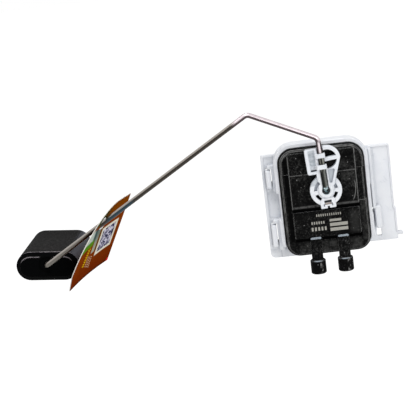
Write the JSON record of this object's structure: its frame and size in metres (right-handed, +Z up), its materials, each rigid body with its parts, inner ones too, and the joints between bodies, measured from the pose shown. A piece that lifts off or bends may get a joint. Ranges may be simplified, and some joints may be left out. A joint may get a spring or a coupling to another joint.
{
  "type": "fuel level sender",
  "caption": "Magnetic fuel level sender: a sealed sensor case in a clip-on bracket, with a bent wire arm that swings on the case and carries a foam float at its end.",
  "frame": {"origin": "on the bracket's rear face, on the arm's pivot axis", "axes": "+Y out of the bracket's rear face along the pivot axis, +Z up the case away from its sockets, +X to the right seen from the front"},
  "size_m": [0.1928, 0.0722, 0.0838],
  "materials": {
    "white_plastic": "satin moulded",
    "black_plastic": "fine moulded grain",
    "seal_rubber": "dull",
    "red_rubber": "dull",
    "board_ceramic": "dull",
    "amber_film": "satin",
    "terminal_brass": "bright",
    "steel": "bright drawn",
    "magnet_metal": "dull",
    "printed_card": "printed, satin",
    "float_foam": "fine closed cells"
  },
  "bodies": {
    "housing": {"mounting_bracket": "white_plastic", "sensor_cover": "black_plastic", "sensor_base": "black_plastic", "case_seal": "seal_rubber", "resistor_board": "board_ceramic", "comb_spacer": "amber_film", "contact_comb": "steel", "terminal_left": "terminal_brass", "terminal_right": "terminal_brass", "terminal_seal_left": "red_rubber", "terminal_seal_right": "red_rubber", "pivot_bush": "steel"},
    "arm": {"arm_holder": "white_plastic", "magnet": "magnet_metal", "axle_ring": "steel", "float_arm": "steel", "float_washer": "steel", "hang_tag": "printed_card"},
    "float_block": {"float": "float_foam"}
  },
  "joints": [
    {"name": "arm_swing", "type": "hinge", "parent": "housing", "child": "arm", "pos_m": [0, 0, 0], "axis": [0, 1, 0], "range_deg": [0, 72]},
    {"name": "float_swivel", "type": "hinge", "parent": "arm", "child": "float_block", "pos_m": [-0.1404, 0, -0.02158], "axis": [0, 1, 0], "continuous": true}
  ]
}
